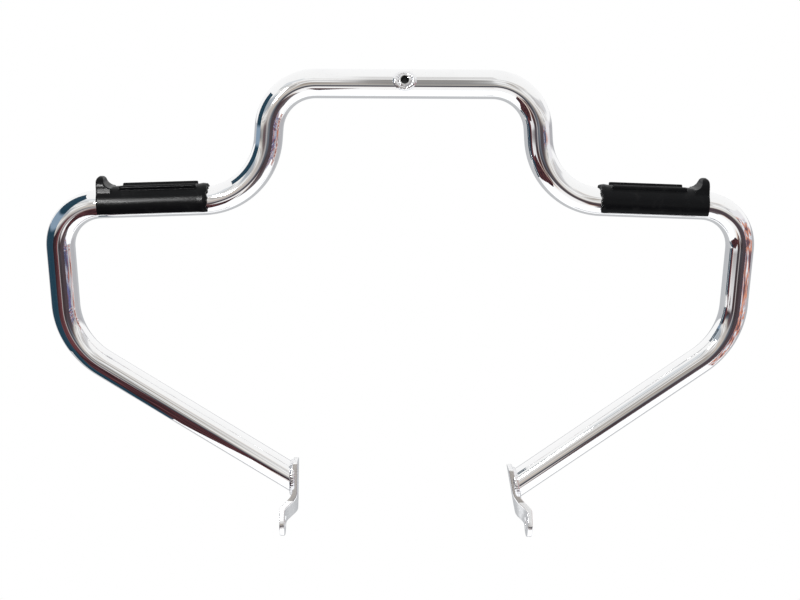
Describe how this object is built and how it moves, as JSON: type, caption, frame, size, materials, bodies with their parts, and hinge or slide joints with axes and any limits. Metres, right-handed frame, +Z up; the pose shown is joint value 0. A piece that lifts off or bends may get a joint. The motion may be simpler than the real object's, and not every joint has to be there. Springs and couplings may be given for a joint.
{
  "type": "motorcycle crash bar",
  "caption": "Chrome tubular leg guard for a motorcycle, bent into side hoops, with a welded cross sleeve in the middle, flat bolt-on brackets below and ribbed rubber footrest pads",
  "frame": {"origin": "middle of the cross sleeve, on the axis of the top bar", "axes": "+X is the viewer's right along the top bar, +Y points to the back, +Z is up, and the bent tube lies in the XZ plane"},
  "size_m": [0.809, 0.0566, 0.556],
  "materials": {
    "tube_chrome": "polished",
    "sleeve_chrome": "polished",
    "weld_chrome": "plated over a rippled weld",
    "bracket_chrome": "polished",
    "pad_rubber": "satin moulded"
  },
  "bodies": {
    "root": {"guard_tube": "tube_chrome", "centre_sleeve": "sleeve_chrome", "centre_weld_front": "weld_chrome", "centre_weld_rear": "weld_chrome", "left_bracket": "bracket_chrome", "right_bracket": "bracket_chrome", "left_bracket_weld": "weld_chrome", "right_bracket_weld": "weld_chrome", "left_footrest_pad": "pad_rubber", "right_footrest_pad": "pad_rubber"}
  },
  "joints": []
}
